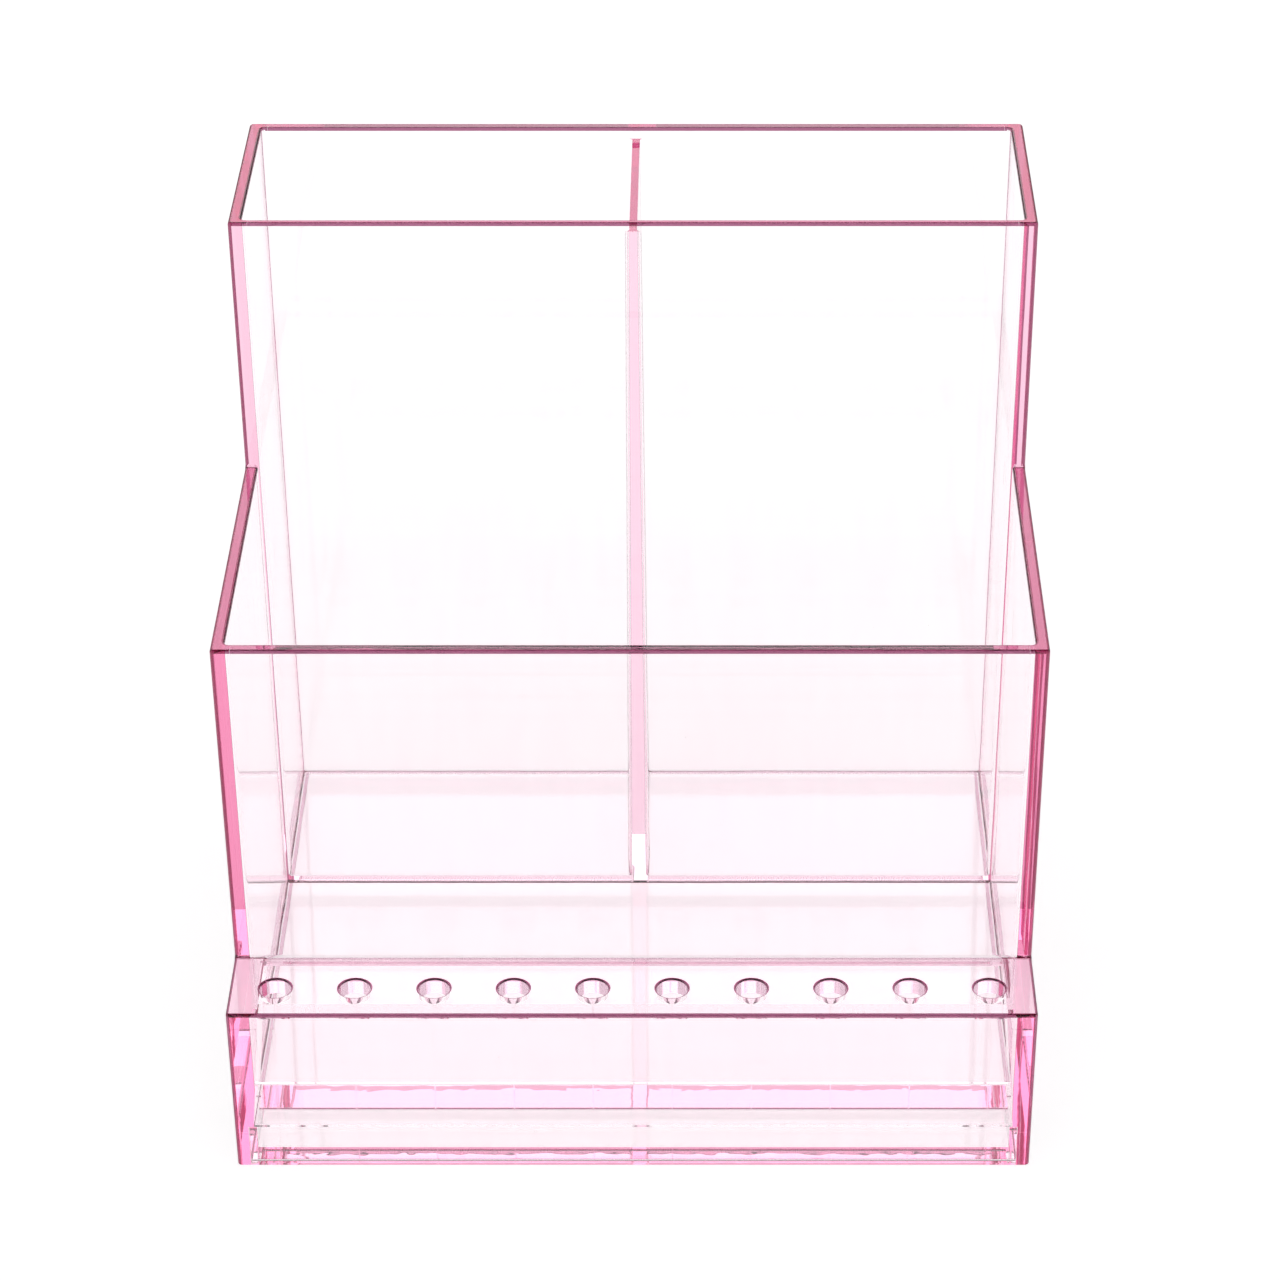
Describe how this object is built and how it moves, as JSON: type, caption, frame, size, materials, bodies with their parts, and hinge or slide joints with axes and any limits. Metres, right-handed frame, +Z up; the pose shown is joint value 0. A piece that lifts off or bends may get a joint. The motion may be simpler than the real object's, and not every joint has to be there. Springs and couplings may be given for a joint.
{
  "type": "nail drill storage box",
  "caption": "Clear pink stepped desk organiser with tall rear compartments, a lower front compartment and a low rack with a row of holes for nail drill bits.",
  "frame": {"origin": "centre of the footprint, on the surface that the box stands on", "axes": "+Z up, -Y towards the user (the bit rack's side), +X to the user's right"},
  "size_m": [0.103, 0.0896, 0.1048],
  "materials": {
    "wall_pink": "clear, polished",
    "floor_pink": "clear, polished",
    "rack_pink": "clear, polished",
    "cover_pink": "clear, polished"
  },
  "bodies": {
    "root": {"back_wall": "wall_pink", "left_side_wall": "wall_pink", "right_side_wall": "wall_pink", "middle_wall": "wall_pink", "divider": "wall_pink", "front_wall": "wall_pink", "floor_panel": "floor_pink", "bit_rack_plate": "rack_pink", "bit_rack_front": "rack_pink", "bit_rack_left_end": "rack_pink", "bit_rack_right_end": "rack_pink", "bit_rack_cover": "cover_pink"}
  },
  "joints": []
}
